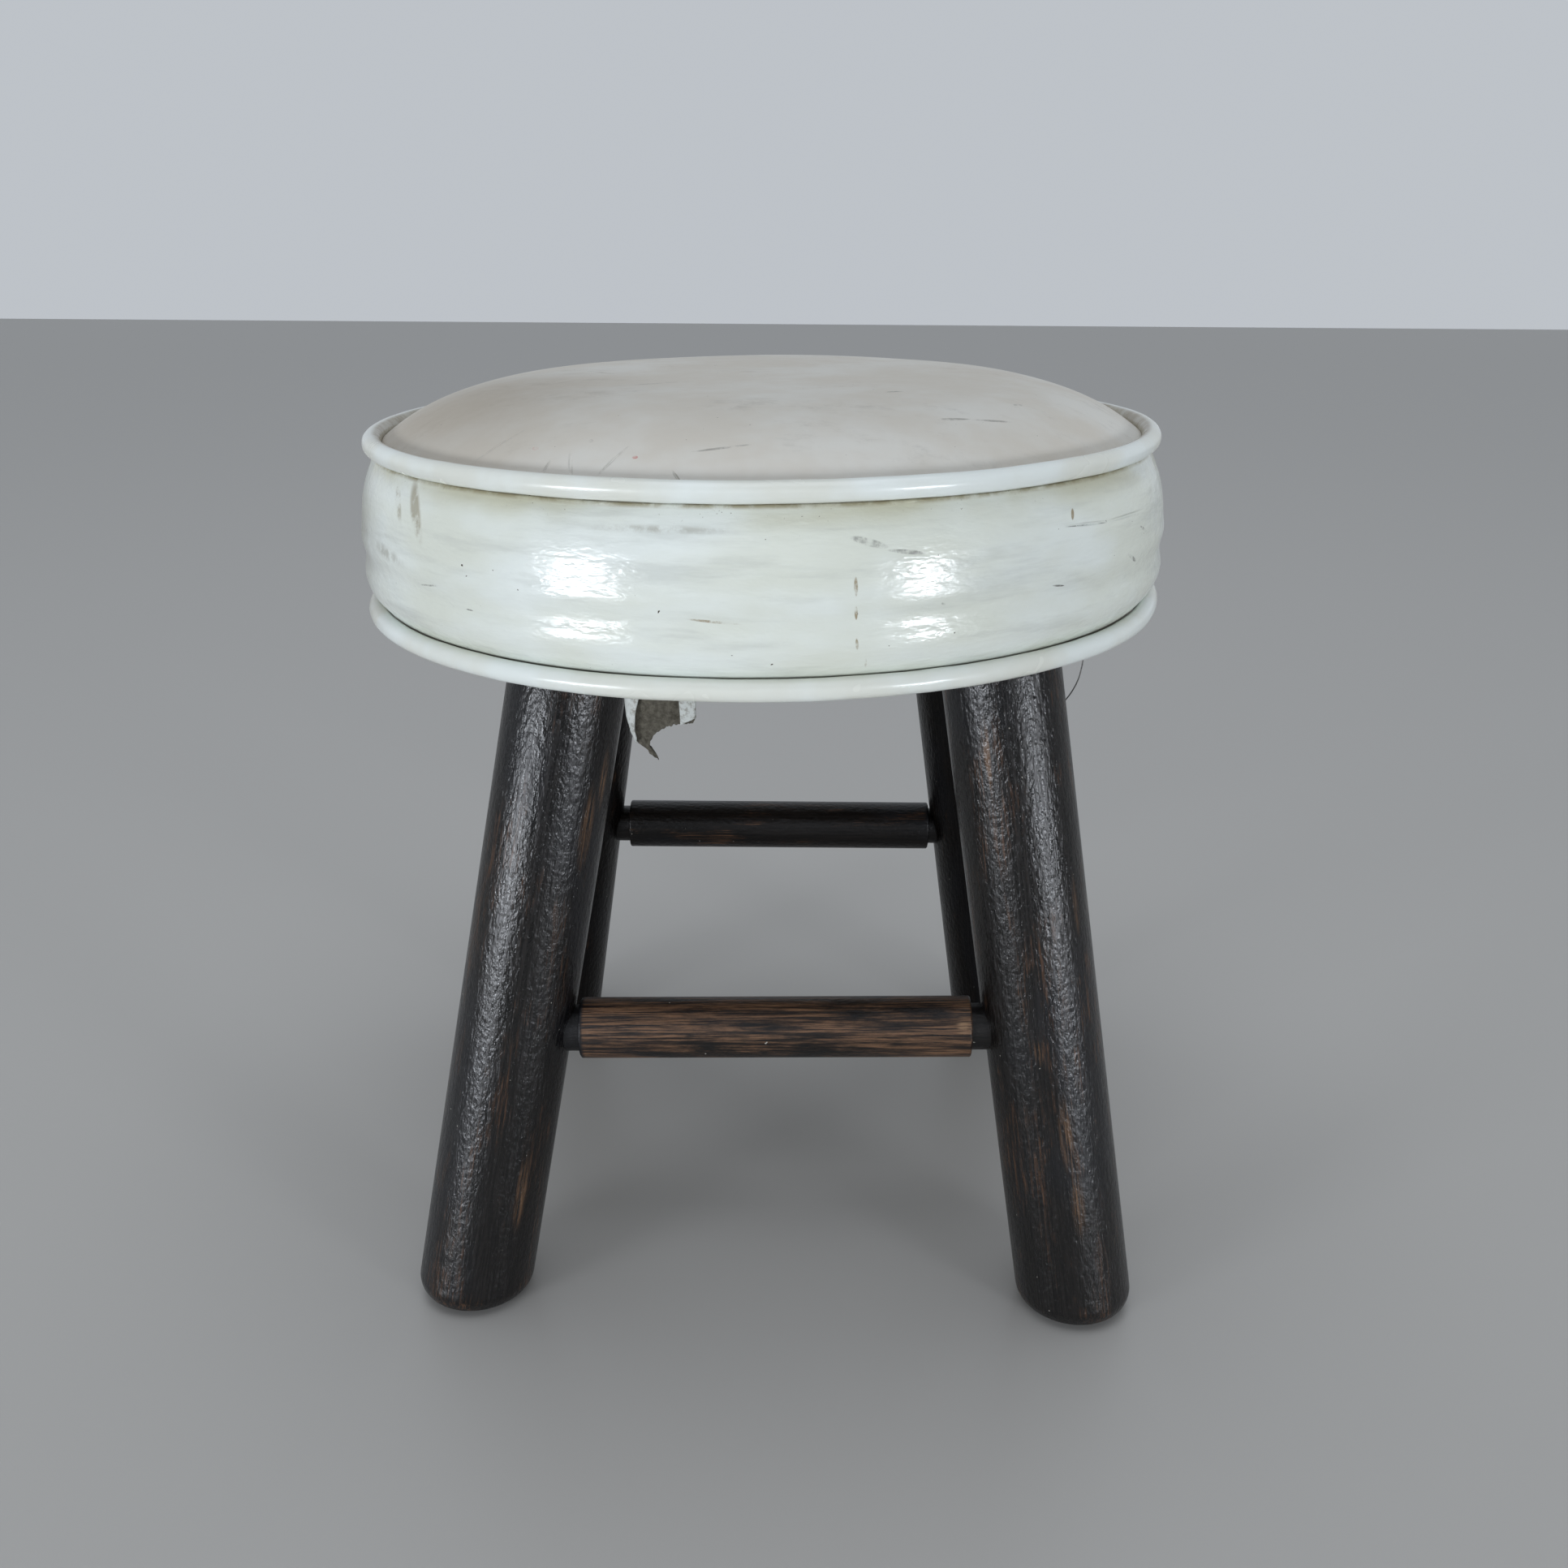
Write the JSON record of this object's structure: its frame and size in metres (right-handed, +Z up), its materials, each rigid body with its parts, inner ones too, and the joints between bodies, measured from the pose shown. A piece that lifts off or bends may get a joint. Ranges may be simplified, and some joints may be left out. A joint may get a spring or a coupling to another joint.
{
  "type": "milking stool",
  "caption": "Round milking stool with a padded vinyl seat, piped seams, splayed round wooden legs and front and back stretchers.",
  "frame": {"origin": "on the floor, under the middle of the seat", "axes": "+Z up, -Y towards the front of the stool, +X to the stool's right as seen from the front"},
  "size_m": [0.3197, 0.3198, 0.3475],
  "materials": {
    "board_wood": "bare sawn softwood board, dusty",
    "stained_wood": "near-black stain, waxed, satin, worn on the edges",
    "worn_stained_wood": "near-black stain rubbed through to brown wood",
    "wedge_wood": "bare hardwood",
    "foam": "open-cell foam, aged",
    "cotton_wadding": "cotton wadding",
    "vinyl_top": "off-white vinyl, rubbed matt, creased, a little soiled",
    "vinyl_band": "off-white vinyl, glossy, fine grain, scuffs and drip stains",
    "vinyl_piping": "off-white vinyl piping, glossy, grubby in the seams",
    "piping_cord": "twisted cotton cord",
    "vinyl_hem": "off-white vinyl with a woven back, dirty, torn",
    "blued_steel": "blued steel tacks, a little rusty",
    "thread": "waxed grey sewing thread"
  },
  "bodies": {
    "root": {"seat_board": "board_wood", "leg_front_left": "stained_wood", "leg_front_right": "stained_wood", "leg_back_left": "stained_wood", "leg_back_right": "stained_wood", "stretcher_front": "worn_stained_wood", "stretcher_back": "worn_stained_wood", "tenon_wedges": "wedge_wood", "foam_pad": "foam", "wadding": "cotton_wadding", "cover_top": "vinyl_top", "cover_band": "vinyl_band", "top_piping": "vinyl_piping", "top_piping_cord": "piping_cord", "bottom_piping": "vinyl_piping", "bottom_piping_cord": "piping_cord", "cover_hem": "vinyl_hem", "torn_flap": "vinyl_hem", "hem_tacks": "blued_steel", "loose_thread": "thread"}
  },
  "joints": []
}
